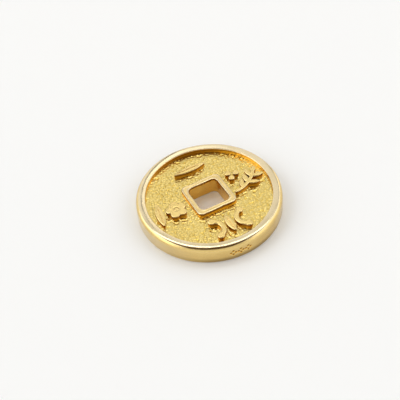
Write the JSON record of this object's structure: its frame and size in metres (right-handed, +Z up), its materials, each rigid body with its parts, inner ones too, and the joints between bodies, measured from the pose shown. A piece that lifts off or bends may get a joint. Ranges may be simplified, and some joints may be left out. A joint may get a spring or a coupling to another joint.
{
  "type": "ball marker",
  "caption": "Round golf ball marker shaped like a square-holed coin, with a raised rim and hole collar, pebbled recessed fields and raised leaf, sprig, scroll and blossom ornaments",
  "frame": {"origin": "centre of the back, in the plane the marker lies on", "axes": "+Z up through the square hole towards the ornamented face, +Y towards the top of that face"},
  "size_m": [0.024, 0.024, 0.0031],
  "materials": {
    "rim_gold": "satin polished yellow gold, fine turned lines",
    "field_gold": "yellow gold, hand-pebbled, sparkling",
    "relief_gold": "satin yellow gold with softened edges"
  },
  "bodies": {
    "root": {"rim_band": "rim_gold", "hole_collar": "rim_gold", "front_field_plate": "field_gold", "back_field_plate": "field_gold", "north_leaf": "relief_gold", "east_sprig": "relief_gold", "east_berries": "relief_gold", "south_leaf": "relief_gold", "south_scroll_left": "relief_gold", "south_scroll_right": "relief_gold", "west_leaf": "relief_gold", "west_blossom": "relief_gold", "west_bead": "relief_gold"}
  },
  "joints": []
}
